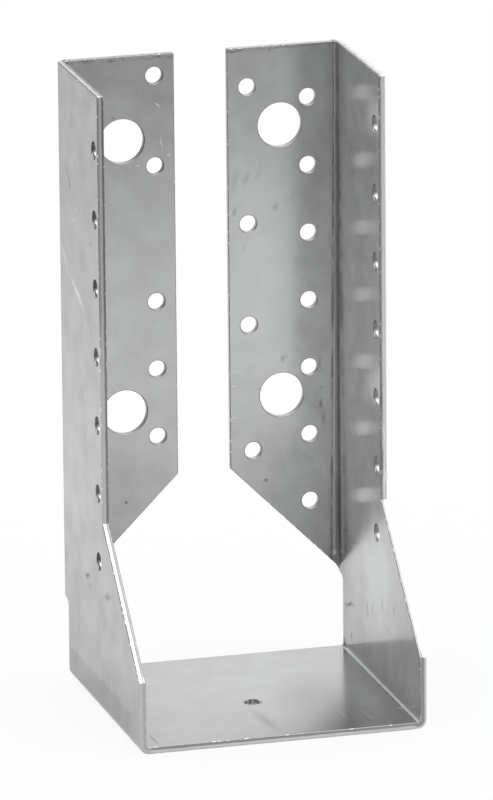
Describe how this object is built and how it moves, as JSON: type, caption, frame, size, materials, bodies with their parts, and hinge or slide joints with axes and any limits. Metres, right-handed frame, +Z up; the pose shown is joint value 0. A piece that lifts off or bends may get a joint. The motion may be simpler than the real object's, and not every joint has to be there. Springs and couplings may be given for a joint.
{
  "type": "joist hanger",
  "caption": "Folded galvanised steel joist hanger with a flat seat, two side walls and inward flanges punched for nails and bolts.",
  "frame": {"origin": "under the middle of the hanger, on the plane of the seat's underside", "axes": "+Z up, +Y towards the header that the flanges lie against, +X to the right as seen from the joist"},
  "size_m": [0.084, 0.084, 0.181],
  "materials": {
    "galvanised_steel": "satin zinc coating, lightly scuffed"
  },
  "bodies": {
    "root": {"hanger": "galvanised_steel"}
  },
  "joints": []
}
